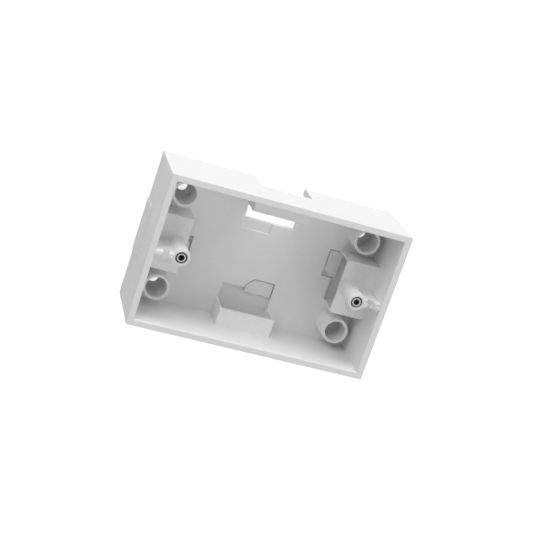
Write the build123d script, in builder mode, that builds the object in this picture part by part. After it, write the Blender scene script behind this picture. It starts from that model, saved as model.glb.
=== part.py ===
from build123d import *
import os

os.makedirs("parts", exist_ok=True)

# Surface mounting block: an open moulded box that is screwed to a wall and
# carries a faceplate on two screw posts with metal inserts. Its back plane is
# Z = 0, its open front looks along +Z, its long side lies along X.

# Box
length = 114.0
width = 72.0
depth = 38.0
wall = 3.0
rim_bevel = 0.3
outer_corner = 0.5
floor_top = 5.5
floor_thickness = 2.2
back_setback = 2.4

# Wall screw pillars
wall_screw_pitch_x = 89.0
wall_screw_pitch_y = 46.2
pillar_radius = 6.2
pillar_base_radius = 6.8
pillar_top = 17.0
screw_head_radius = 5.0
screw_hole_radius = 2.4
screw_seat = 1.5

# Faceplate screw posts
post_inset = 15.0
post_top_radius = 4.05
post_base_radius = 4.3
post_lip_width = 0.45
post_lip_height = 0.25

# Metal inserts in the posts
insert_radius = 2.8
insert_length = 14.0
insert_bore_radius = 1.45
insert_collar_radius = 1.95
insert_collar_height = 1.2
insert_sink = 0.4
insert_clearance = 0.02
insert_groove_depth = 0.35
insert_groove_width = 1.0
insert_groove_pitch = 4.0

# Web that ties each post to the end wall
web_thickness = 2.4
web_wall_ledge = 3.3
web_ledge_drop = 0.3
web_lug = 1.7
web_notch_depth = 3.2
web_notch_slant = 0.7
web_bevel = 0.7

# Hooded cable entries
hood_width = 26.8
hood_top = 20.0
hood_wall = 1.0
hood_skin = 1.5
hood_reach = 11.6
slot_reach = 19.4
slot_flange = 2.0

# Knock-outs that close an entry
knockout_width = 25.8
knockout_height = 16.0
knockout_proud = 0.5
knockout_web = 1.6
closing_web_top = 3.4
closing_web_thickness = 1.0

# Tab beside each slot
tab_width = 14.0
tab_reach = 24.5
tab_root = 17.2
tab_drop = 0.8
tab_bevel = 4.0
tab_groove = 0.5
tab_corner_gap = 1.0

# Marks that the ejector pins leave on the end hoods
ejector_radius = 2.0
ejector_depth = 0.12
ejector_inset = 11.0
ejector_pitch = 15.0

# Places that follow from the sizes above
plate_screw_pitch = length - 2 * post_inset
post_x = plate_screw_pitch / 2
pillar_height = pillar_top - back_setback
end_hood_reach = post_inset + post_base_radius
opening_width = hood_width - 2 * hood_wall
insert_top = depth - insert_sink
insert_bottom = insert_top - insert_length
tab_top = floor_top - tab_drop
tab_edge = -opening_width / 2
tab_side = tab_edge + tab_width

# The four entries, a quarter turn apart: the distance of the wall from the
# centre, the reach of the hood, whether the entry has been broken open, and
# whether the floor fills the corner that is cut off the tab
entries = [
    (0, width / 2, hood_reach, True, False),
    (90, length / 2, end_hood_reach, False, False),
    (180, width / 2, hood_reach, False, True),
    (270, length / 2, end_hood_reach, False, False),
]


def entry_plane(turn, height):
    """Level plane whose Y axis points from the centre to the entry's wall."""
    return Plane.XY.offset(height).rotated((0, 0, turn))


# Webs that tie the posts to the end walls, notched and bevelled on top
ledge_x = length / 2 - wall - web_wall_ledge
lug_x = post_x + post_top_radius + web_lug
notch_z = depth - web_notch_depth
with BuildPart() as webs:
    with BuildSketch(Plane.XZ):
        with BuildLine():
            Polyline(
                (post_x, hood_top - hood_skin),
                (length / 2 - wall / 2, hood_top - hood_skin),
                (length / 2 - wall / 2, depth - web_ledge_drop),
                (ledge_x, depth - web_ledge_drop),
                (ledge_x - web_notch_slant, notch_z),
                (lug_x, notch_z),
                (lug_x, depth - post_lip_height),
                (post_x, depth - post_lip_height),
                close=True,
            )
        make_face()
        mirror(about=Plane.YZ)
    extrude(amount=web_thickness / 2, both=True)
    top_edges = webs.edges().filter_by(Axis.X).filter_by_position(Axis.Z, notch_z + web_bevel, depth)
    chamfer(top_edges.group_by(Axis.Y)[-1], web_bevel)

# Housing, moulded in one piece
with BuildPart() as housing:

    # Four walls, with a bevel inside the rim and broken outer corners
    with BuildSketch():
        Rectangle(length, width)
        Rectangle(length - 2 * wall, width - 2 * wall, mode=Mode.SUBTRACT)
    extrude(amount=depth)
    rim = housing.faces().sort_by(Axis.Z)[-1]
    chamfer(rim.inner_wires()[0].edges(), rim_bevel)
    outer_edges = housing.edges().filter_by(Axis.Z).sort_by(SortBy.DISTANCE)[-4:]
    fillet(outer_edges, outer_corner)

    # Floor, set forward of the wall plane
    with BuildSketch(Plane.XY.offset(floor_top)):
        Rectangle(length - wall, width - wall)
    extrude(amount=-floor_thickness)

    # Pillars for the wall screws
    with Locations((0, 0, back_setback)):
        with GridLocations(wall_screw_pitch_x, wall_screw_pitch_y, 2, 2):
            Cone(
                pillar_base_radius,
                pillar_radius,
                pillar_height,
                align=(Align.CENTER, Align.CENTER, Align.MIN),
            )
    with Locations((0, 0, pillar_top)):
        with GridLocations(wall_screw_pitch_x, wall_screw_pitch_y, 2, 2):
            CounterBoreHole(screw_hole_radius, screw_head_radius, pillar_height - screw_seat)

    for turn, wall_face, reach, is_open, corner_filled in entries:
        wall_inside = wall_face - wall
        wall_middle = wall_face - wall / 2
        slot_end = wall_face - slot_reach
        hood_end = wall_face - reach
        tab_end = wall_face - tab_reach
        tab_start = wall_face - tab_root

        # Flange behind the floor, round the slot and the tab
        with BuildSketch(entry_plane(turn, back_setback)):
            with Locations((0, slot_end - slot_flange)):
                Rectangle(
                    opening_width + 2 * slot_flange,
                    wall_middle - slot_end + slot_flange,
                    align=(Align.CENTER, Align.MIN),
                )
            if not is_open:
                with Locations((tab_edge - slot_flange, tab_end - slot_flange)):
                    Rectangle(
                        tab_width + 2 * slot_flange,
                        tab_reach - slot_reach + slot_flange,
                        align=(Align.MIN, Align.MIN),
                    )
        extrude(amount=floor_top - back_setback)

        # Slot through the floor and the flange
        with BuildSketch(entry_plane(turn, 0)):
            with Locations((0, slot_end)):
                Rectangle(
                    opening_width,
                    wall_inside - slot_end,
                    align=(Align.CENTER, Align.MIN),
                )
        extrude(amount=floor_top, mode=Mode.SUBTRACT)

        # Side walls of the hood, carried down to the flange's back edge
        with BuildSketch(entry_plane(turn, back_setback)):
            with GridLocations(hood_width - hood_wall, 0, 2, 1):
                with Locations((0, hood_end)):
                    Rectangle(
                        hood_wall,
                        wall_middle - hood_end,
                        align=(Align.CENTER, Align.MIN),
                    )
        extrude(amount=hood_top - back_setback)

        # Front skin of the hood
        with BuildSketch(entry_plane(turn, hood_top)):
            with Locations((0, hood_end)):
                Rectangle(
                    hood_width,
                    wall_middle - hood_end,
                    align=(Align.CENTER, Align.MIN),
                )
        extrude(amount=-hood_skin)

        # Opening in the wall, right through where the knock-out is gone
        opening_depth = wall if is_open else wall + knockout_proud - knockout_web
        with BuildSketch(entry_plane(turn, 0)):
            with Locations((0, wall_inside)):
                Rectangle(opening_width, opening_depth, align=(Align.CENTER, Align.MIN))
        extrude(amount=knockout_height, mode=Mode.SUBTRACT)

        if is_open:
            # Shallow recess that is left of the tab
            with BuildSketch(entry_plane(turn, tab_top)):
                with Locations((tab_edge, tab_end)):
                    Rectangle(tab_width, tab_reach - slot_reach, align=(Align.MIN, Align.MIN))
            extrude(amount=tab_drop, mode=Mode.SUBTRACT)
        else:
            # Room for the tab, right through the floor and the flange
            with BuildSketch(entry_plane(turn, 0)) as tab_room:
                with Locations((tab_edge, tab_end)):
                    Rectangle(tab_width, tab_reach - slot_reach, align=(Align.MIN, Align.MIN))
                if corner_filled:
                    cut_side = tab_room.vertices().group_by(Axis.X)[-1]
                    chamfer(
                        cut_side.sort_by(Axis.Y)[0],
                        tab_bevel + tab_groove - tab_corner_gap,
                    )
            extrude(amount=floor_top, mode=Mode.SUBTRACT)

            # Knock-out that stands a little proud of the wall
            with BuildSketch(entry_plane(turn, 0)):
                with Locations((0, wall_face + knockout_proud)):
                    Rectangle(
                        knockout_width,
                        knockout_web,
                        align=(Align.CENTER, Align.MAX),
                    )
            extrude(amount=knockout_height)

            # Thin web that closes the slot and the tab's room
            with BuildSketch(entry_plane(turn, closing_web_top)):
                with Locations((0, slot_end)):
                    Rectangle(
                        hood_width,
                        wall_inside - slot_end,
                        align=(Align.CENTER, Align.MIN),
                    )
                with Locations((0, wall_inside)):
                    Rectangle(opening_width, opening_depth, align=(Align.CENTER, Align.MIN))
                with Locations((tab_edge, tab_end)):
                    Rectangle(tab_width, tab_reach - slot_reach, align=(Align.MIN, Align.MIN))
            extrude(amount=-closing_web_thickness)

            # Tab with one corner cut across, inside its groove
            with BuildSketch(entry_plane(turn, tab_top)):
                with BuildLine():
                    Polyline(
                        (tab_edge + tab_groove, tab_start),
                        (tab_edge + tab_groove, tab_end + tab_groove),
                        (tab_side - tab_bevel, tab_end + tab_groove),
                        (tab_side - tab_groove, tab_end + tab_bevel),
                        (tab_side - tab_groove, tab_start),
                        close=True,
                    )
                make_face()
            extrude(amount=closing_web_top - closing_web_thickness - tab_top)

    # Webs, merged before the posts they end in
    add(webs.part)

    # Posts for the faceplate screws, on the end hoods
    with Locations((0, 0, hood_top - hood_skin)):
        with GridLocations(plate_screw_pitch, 0, 2, 1):
            Cone(
                post_base_radius,
                post_top_radius,
                depth - post_lip_height - hood_top + hood_skin,
                align=(Align.CENTER, Align.CENTER, Align.MIN),
            )
    with BuildSketch(Plane.XY.offset(depth)):
        with GridLocations(plate_screw_pitch, 0, 2, 1):
            Circle(insert_radius + post_lip_width)
    extrude(amount=-2 * post_lip_height)

    # Blind bores for the inserts
    with Locations((0, 0, depth)):
        with GridLocations(plate_screw_pitch, 0, 2, 1):
            Hole(insert_radius, depth - insert_bottom)

    # Shallow marks of the ejector pins, two on each end hood
    with Locations((0, 0, hood_top)):
        with GridLocations(length - 2 * ejector_inset, ejector_pitch, 2, 2):
            Hole(ejector_radius, ejector_depth)

housing.part.label = "housing"
export_step(housing.part, "parts/housing.step")


def make_insert(side):
    """Metal insert seated on the bottom of the bore in the post on that side."""
    foot = Plane(origin=(side * post_x, 0, insert_bottom), x_dir=(1, 0, 0), z_dir=(0, -1, 0))
    outer_radius = insert_radius - insert_clearance
    shoulder = insert_length - insert_collar_height
    with BuildPart() as insert:
        with BuildSketch(foot):
            with Locations((insert_bore_radius, 0)):
                Rectangle(
                    insert_collar_radius - insert_bore_radius,
                    insert_length,
                    align=(Align.MIN, Align.MIN),
                )
                Rectangle(
                    outer_radius - insert_bore_radius,
                    shoulder,
                    align=(Align.MIN, Align.MIN),
                )
            with Locations((outer_radius, shoulder / 2)):
                with GridLocations(0, insert_groove_pitch, 1, 2):
                    Rectangle(
                        2 * insert_groove_depth,
                        insert_groove_width,
                        mode=Mode.SUBTRACT,
                    )
        revolve(axis=Axis((side * post_x, 0, 0), (0, 0, 1)))
    return insert.part


for name, side in (("left_insert", -1), ("right_insert", 1)):
    insert = make_insert(side)
    insert.label = name
    export_step(insert, f"parts/{name}.step")
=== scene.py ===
import math

import bpy
from mathutils import Matrix, Vector, noise


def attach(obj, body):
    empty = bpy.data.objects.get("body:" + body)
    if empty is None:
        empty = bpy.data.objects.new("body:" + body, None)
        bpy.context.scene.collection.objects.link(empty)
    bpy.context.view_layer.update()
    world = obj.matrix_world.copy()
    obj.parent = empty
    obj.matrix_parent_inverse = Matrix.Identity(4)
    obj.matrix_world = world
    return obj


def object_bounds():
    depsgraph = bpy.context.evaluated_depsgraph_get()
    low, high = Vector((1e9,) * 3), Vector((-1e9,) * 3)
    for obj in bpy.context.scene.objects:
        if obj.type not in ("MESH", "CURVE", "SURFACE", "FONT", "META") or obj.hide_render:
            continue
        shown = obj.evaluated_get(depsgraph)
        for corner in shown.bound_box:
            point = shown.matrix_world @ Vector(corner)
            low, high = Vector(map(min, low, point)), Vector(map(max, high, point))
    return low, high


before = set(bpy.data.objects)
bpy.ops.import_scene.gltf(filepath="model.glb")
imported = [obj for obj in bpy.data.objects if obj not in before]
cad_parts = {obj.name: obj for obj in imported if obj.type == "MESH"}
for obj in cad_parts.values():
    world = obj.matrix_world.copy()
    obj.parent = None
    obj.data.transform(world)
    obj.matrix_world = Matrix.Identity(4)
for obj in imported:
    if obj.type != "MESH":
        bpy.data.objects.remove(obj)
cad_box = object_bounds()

# Housing
# One moulding in white rigid plastic, straight from the mould: a fine matt
# skin, edges broken by a fraction of a millimetre, and faint flow in the wall.
housing_colour_low = (0.86, 0.86, 0.86, 1)
housing_colour_high = (0.95, 0.95, 0.95, 1)
housing_specular = 0.35
housing_scatter = 0.2
housing_scatter_colour = (1, 1, 1)
housing_scatter_depth = 0.0015
housing_edge = 0.0003
housing_edge_samples = 8
flow_size = 0.030
flow_detail = 3
flow_low = 0.3
flow_high = 0.7
cloud_size = 0.0022
cloud_detail = 2
cloud_share = 0.5
skin_roughness_low = 0.42
skin_roughness_high = 0.58
skin_grain = 0.0005
skin_grain_detail = 2
skin_grain_strength = 0.25
skin_grain_height = 0.00006


def moulded_plastic():
    material = bpy.data.materials.new("moulded_plastic")
    material.use_nodes = True
    nodes = material.node_tree.nodes
    links = material.node_tree.links
    shader = nodes["Principled BSDF"]
    shader.inputs["Specular IOR Level"].default_value = housing_specular
    shader.inputs["Subsurface Weight"].default_value = housing_scatter
    shader.inputs["Subsurface Radius"].default_value = housing_scatter_colour
    shader.inputs["Subsurface Scale"].default_value = housing_scatter_depth
    place = nodes.new("ShaderNodeTexCoord")

    # Slow drift of the grey, where the melt met, with small clouds over it
    flow = nodes.new("ShaderNodeTexNoise")
    flow.inputs["Scale"].default_value = 1 / flow_size
    flow.inputs["Detail"].default_value = flow_detail
    links.new(place.outputs["Object"], flow.inputs["Vector"])
    cloud = nodes.new("ShaderNodeTexNoise")
    cloud.inputs["Scale"].default_value = 1 / cloud_size
    cloud.inputs["Detail"].default_value = cloud_detail
    links.new(place.outputs["Object"], cloud.inputs["Vector"])
    blend = nodes.new("ShaderNodeMix")
    blend.inputs["Factor"].default_value = cloud_share
    links.new(flow.outputs["Fac"], blend.inputs["A"])
    links.new(cloud.outputs["Fac"], blend.inputs["B"])
    tint = nodes.new("ShaderNodeMix")
    tint.data_type = "RGBA"
    tint.inputs["A"].default_value = housing_colour_low
    tint.inputs["B"].default_value = housing_colour_high
    links.new(blend.outputs["Result"], tint.inputs["Factor"])
    links.new(tint.outputs["Result"], shader.inputs["Base Color"])

    # Roughness of the matt skin
    gloss = nodes.new("ShaderNodeMapRange")
    gloss.inputs["From Min"].default_value = flow_low
    gloss.inputs["From Max"].default_value = flow_high
    gloss.inputs["To Min"].default_value = skin_roughness_low
    gloss.inputs["To Max"].default_value = skin_roughness_high
    links.new(flow.outputs["Fac"], gloss.inputs["Value"])
    links.new(gloss.outputs["Result"], shader.inputs["Roughness"])

    # Fine grain over edges that are slightly round
    edge = nodes.new("ShaderNodeBevel")
    edge.samples = housing_edge_samples
    edge.inputs["Radius"].default_value = housing_edge
    grain = nodes.new("ShaderNodeTexNoise")
    grain.inputs["Scale"].default_value = 1 / skin_grain
    grain.inputs["Detail"].default_value = skin_grain_detail
    links.new(place.outputs["Object"], grain.inputs["Vector"])
    bump = nodes.new("ShaderNodeBump")
    bump.inputs["Strength"].default_value = skin_grain_strength
    bump.inputs["Distance"].default_value = skin_grain_height
    links.new(grain.outputs["Fac"], bump.inputs["Height"])
    links.new(edge.outputs["Normal"], bump.inputs["Normal"])
    links.new(bump.outputs["Normal"], shader.inputs["Normal"])
    return material


housing = bpy.data.objects["housing"]
housing_plastic = moulded_plastic()
housing.data.materials.clear()
housing.data.materials.append(housing_plastic)

# Torn web
# The web between the right post and the end wall is torn. A ragged skin of the
# same plastic follows its top, stands up along both edges in places and hangs
# over them in others.
tear_start = 0.0461
tear_end = 0.05395
tear_half_width = 0.0013
tear_thickness = 0.0006
tear_columns = 90
tear_rows = 28
lump_size = 0.0015
lump_height = 0.0011
lump_fall = 0.7
lump_step = 2.0
lump_octaves = 4
fringe_size = 0.0010
fringe_reach = 0.0020
curl_height = 0.0014
curl_power = 4
curl_share = 0.4
rim_gap = 0.0001

for thing in bpy.context.selected_objects:
    thing.select_set(False)
bpy.ops.mesh.primitive_grid_add(
    x_subdivisions=tear_columns, y_subdivisions=tear_rows, size=2
)
torn_web = bpy.context.object
torn_web.name = "torn_web"
highest = cad_box[1][2] - rim_gap
for point in torn_web.data.vertices:

    # The grid runs from -1 to 1 both ways
    along = tear_start + (tear_end - tear_start) * (point.co.x + 1) / 2
    across = point.co.y
    above = Vector((along, 0, 2 * highest))
    web_top = housing.ray_cast(above, Vector((0, 0, -1)))[1].z
    side = math.copysign(1, across)
    ragged = noise.noise(Vector((along, side, 0)) / fringe_size)
    width = tear_half_width + fringe_reach * max(ragged, 0)
    spot = Vector((along, across * width, 0))
    lump = noise.fractal(spot / lump_size, lump_fall, lump_step, lump_octaves)
    curl = across ** curl_power * (curl_share + (1 - curl_share) * ragged)
    height = web_top + lump_height * lump + curl_height * curl
    point.co = (along, across * width, min(height, highest))
shell = torn_web.modifiers.new("skin", "SOLIDIFY")
shell.thickness = tear_thickness
shell.offset = -1
for face in torn_web.data.polygons:
    face.use_smooth = True
torn_web.data.materials.append(housing_plastic)
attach(torn_web, "root")

# Screw inserts
# Two turned metal inserts, pressed into the posts until their collars stand
# just below the plastic, with a plain bore for the faceplate screws. The metal
# is dull, with painted shade in a dark ring just below each collar top, where the sunk gap
# lies in shadow.
insert_colour_low = (0.36, 0.36, 0.36, 1)
insert_colour_high = (0.62, 0.62, 0.62, 1)
insert_metallic = 0.85
insert_roughness = 0.5
stain_size = 0.0011
stain_detail = 4
# Painted shade in the sunk ring below the collar top, not a colour of the metal
painted_shade_colour = (0.11, 0.11, 0.11, 1)
painted_shade_top = 0.0009
painted_shade_bottom = 0.0014
painted_shade_end = 0.0020
turning_pitch = 0.00035
turning_distortion = 0.4
turning_strength = 0.5
turning_height = 0.00006
wave_period_at_scale_one = math.pi / 10


def turned_metal(collar_top):
    material = bpy.data.materials.new("insert_metal")
    material.use_nodes = True
    nodes = material.node_tree.nodes
    links = material.node_tree.links
    shader = nodes["Principled BSDF"]
    shader.inputs["Metallic"].default_value = insert_metallic
    shader.inputs["Roughness"].default_value = insert_roughness
    place = nodes.new("ShaderNodeTexCoord")

    # Stains in the dull metal
    stain = nodes.new("ShaderNodeTexNoise")
    stain.inputs["Scale"].default_value = 1 / stain_size
    stain.inputs["Detail"].default_value = stain_detail
    links.new(place.outputs["Object"], stain.inputs["Vector"])
    tint = nodes.new("ShaderNodeMix")
    tint.data_type = "RGBA"
    tint.inputs["A"].default_value = insert_colour_low
    tint.inputs["B"].default_value = insert_colour_high
    links.new(stain.outputs["Fac"], tint.inputs["Factor"])

    # Painted shade: a dark ring just below the collar top, where the sunk gap lies in
    # shadow
    height = nodes.new("ShaderNodeSeparateXYZ")
    links.new(place.outputs["Object"], height.inputs["Vector"])
    rise = nodes.new("ShaderNodeMapRange")
    rise.inputs["From Min"].default_value = collar_top - painted_shade_top
    rise.inputs["From Max"].default_value = collar_top
    links.new(height.outputs["Z"], rise.inputs["Value"])
    fall = nodes.new("ShaderNodeMapRange")
    fall.inputs["From Min"].default_value = collar_top - painted_shade_bottom
    fall.inputs["From Max"].default_value = collar_top - painted_shade_end
    links.new(height.outputs["Z"], fall.inputs["Value"])
    unshaded = nodes.new("ShaderNodeMath")
    unshaded.operation = "MAXIMUM"
    links.new(rise.outputs["Result"], unshaded.inputs[0])
    links.new(fall.outputs["Result"], unshaded.inputs[1])
    shaded_ring = nodes.new("ShaderNodeMix")
    shaded_ring.data_type = "RGBA"
    shaded_ring.inputs["A"].default_value = painted_shade_colour
    links.new(tint.outputs["Result"], shaded_ring.inputs["B"])
    links.new(unshaded.outputs["Value"], shaded_ring.inputs["Factor"])
    links.new(shaded_ring.outputs["Result"], shader.inputs["Base Color"])

    # Turning marks along the bore and the body
    turning = nodes.new("ShaderNodeTexWave")
    turning.bands_direction = "Z"
    turning.inputs["Scale"].default_value = wave_period_at_scale_one / turning_pitch
    turning.inputs["Distortion"].default_value = turning_distortion
    links.new(place.outputs["Object"], turning.inputs["Vector"])
    bump = nodes.new("ShaderNodeBump")
    bump.inputs["Strength"].default_value = turning_strength
    bump.inputs["Distance"].default_value = turning_height
    links.new(turning.outputs["Fac"], bump.inputs["Height"])
    links.new(bump.outputs["Normal"], shader.inputs["Normal"])
    return material


left_insert = bpy.data.objects["left_insert"]
right_insert = bpy.data.objects["right_insert"]
insert_metal = turned_metal(max(point.co.z for point in left_insert.data.vertices))
for insert in (left_insert, right_insert):
    insert.data.materials.clear()
    insert.data.materials.append(insert_metal)

# Studio
# A white sheet under the box, two soft panels on the side of the broken entry,
# two softboxes on the other sides, and an even white sky. The sheet and the
# sky are pure white where they are seen, and dimmer as a light.
white = (1, 1, 1, 1)
sheet_size = 4.0
sheet_gap = 0.0002
sheet_colour = (0.55, 0.55, 0.55, 1)
sheet_roughness = 1.0
sheet_specular = 0.0
sheet_glow = 0.80
sky_level = 0.31
sky_level_seen = 1.0
lamp_distance = 1.2
lamp_size = 0.8
left_panel_power = 3.3
low_panel_power = 11.0
right_softbox_power = 2.2
low_softbox_power = 1.9

for thing in bpy.context.selected_objects:
    thing.select_set(False)
sheet_height = cad_box[0][2] - sheet_gap
bpy.ops.mesh.primitive_plane_add(size=sheet_size, location=(0, 0, sheet_height))
sheet = bpy.context.object
sheet.name = "white_sheet"


def seen_directly(nodes, links):
    path = nodes.new("ShaderNodeLightPath")
    mirrored = nodes.new("ShaderNodeMath")
    mirrored.operation = "MAXIMUM"
    links.new(path.outputs["Is Camera Ray"], mirrored.inputs[0])
    links.new(path.outputs["Is Glossy Ray"], mirrored.inputs[1])
    seen = nodes.new("ShaderNodeMath")
    seen.operation = "MAXIMUM"
    links.new(mirrored.outputs["Value"], seen.inputs[0])
    links.new(path.outputs["Is Transmission Ray"], seen.inputs[1])
    return seen.outputs["Value"]


def white_sheet():
    material = bpy.data.materials.new("white_sheet")
    material.use_nodes = True
    nodes = material.node_tree.nodes
    links = material.node_tree.links
    shader = nodes["Principled BSDF"]
    shader.inputs["Base Color"].default_value = sheet_colour
    shader.inputs["Roughness"].default_value = sheet_roughness
    shader.inputs["Specular IOR Level"].default_value = sheet_specular
    shader.inputs["Emission Color"].default_value = white
    glow = nodes.new("ShaderNodeMath")
    glow.operation = "MULTIPLY"
    glow.inputs[1].default_value = sheet_glow
    links.new(seen_directly(nodes, links), glow.inputs[0])
    links.new(glow.outputs["Value"], shader.inputs["Emission Strength"])
    return material


def white_sky():
    world = bpy.data.worlds.new("studio")
    world.use_nodes = True
    nodes = world.node_tree.nodes
    links = world.node_tree.links
    nodes["Background"].inputs["Color"].default_value = white
    strength = nodes.new("ShaderNodeMapRange")
    strength.inputs["To Min"].default_value = sky_level
    strength.inputs["To Max"].default_value = sky_level_seen
    links.new(seen_directly(nodes, links), strength.inputs["Value"])
    links.new(strength.outputs["Result"], nodes["Background"].inputs["Strength"])
    return world


sheet.data.materials.append(white_sheet())
bpy.context.scene.world = white_sky()


def soft_lamp(name, direction, power):
    lamp = bpy.data.lights.new(name, "AREA")
    lamp.shape = "SQUARE"
    lamp.size = lamp_size
    lamp.energy = power
    holder = bpy.data.objects.new(name, lamp)
    holder.location = lamp_distance * Vector(direction).normalized()
    holder.rotation_euler = Vector(direction).to_track_quat("Z", "Y").to_euler()
    bpy.context.scene.collection.objects.link(holder)


soft_lamp("left_panel", (-0.6, 0.7, 0.5), left_panel_power)
soft_lamp("low_panel", (0.0, 1.0, 0.1), low_panel_power)
soft_lamp("right_softbox", (0.72, 0.0, 0.7), right_softbox_power)
soft_lamp("low_softbox", (0.0, -0.7, 0.7), low_softbox_power)

# Camera
# It looks at the open front from above the broken entry's wall and to the
# left, with a slight turn about its own axis.
camera_place = Vector((-0.16335, 0.17395, 0.59208))
camera_right = Vector((0.93407, 0.31179, 0.17405))
camera_back = Vector((-0.26530, 0.27971, 0.92270))
camera_lens = 91.06

lens = bpy.data.cameras.new("camera")
lens.lens = camera_lens
camera = bpy.data.objects.new("camera", lens)
camera_up = camera_back.cross(camera_right)
turn = Matrix((camera_right, camera_up, camera_back)).transposed()
camera.matrix_world = Matrix.LocRotScale(camera_place, turn.to_quaternion(), None)
bpy.context.scene.collection.objects.link(camera)
bpy.context.scene.camera = camera
bpy.context.scene.view_settings.view_transform = "Standard"
